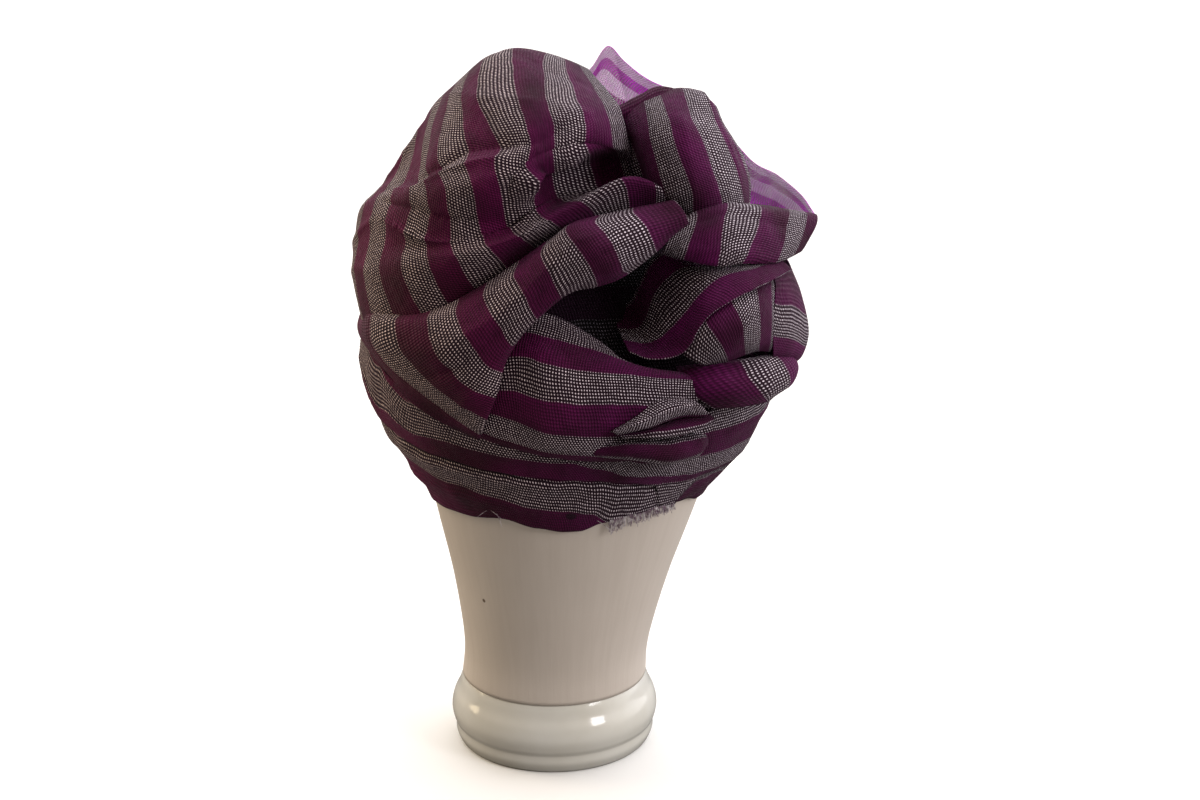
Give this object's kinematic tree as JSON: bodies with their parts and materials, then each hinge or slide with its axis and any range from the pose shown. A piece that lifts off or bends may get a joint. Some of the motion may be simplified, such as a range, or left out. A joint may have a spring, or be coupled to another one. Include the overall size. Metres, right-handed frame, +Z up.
{
  "type": "tied gele head tie on a vase stand",
  "caption": "Gele head tie of striped open mesh cloth, tied in deep rolls, a tall lobe, petals and pleats, resting on a plain round vase stand.",
  "frame": {"origin": "centre of the flat underside of the stand's foot", "axes": "+Z up through the stand and the head tie, -Y towards the front with the diagonal roll, +X to the viewer's right"},
  "size_m": [0.269, 0.2425, 0.4222],
  "materials": {
    "striped_mesh_cloth": "open mesh with purple and silver stripes",
    "loose_threads": "cut threads",
    "cream_ceramic": "matt",
    "white_glaze": "glossy"
  },
  "bodies": {
    "root": {"stand_foot": "white_glaze", "stand_body": "cream_ceramic", "lower_band": "striped_mesh_cloth", "upper_band": "striped_mesh_cloth", "end_fringe": "loose_threads", "diagonal_roll": "striped_mesh_cloth", "front_swath": "striped_mesh_cloth", "inner_curl": "striped_mesh_cloth", "right_mid_petal": "striped_mesh_cloth", "pleat_lower": "striped_mesh_cloth", "pleat_middle": "striped_mesh_cloth", "pleat_upper": "striped_mesh_cloth", "puff_front": "striped_mesh_cloth", "puff_roll": "striped_mesh_cloth", "puff_back": "striped_mesh_cloth", "left_lobe": "striped_mesh_cloth", "petal_roll": "striped_mesh_cloth", "right_upper_petal": "striped_mesh_cloth", "back_fan": "striped_mesh_cloth", "crown_wrap": "striped_mesh_cloth"}
  },
  "joints": []
}
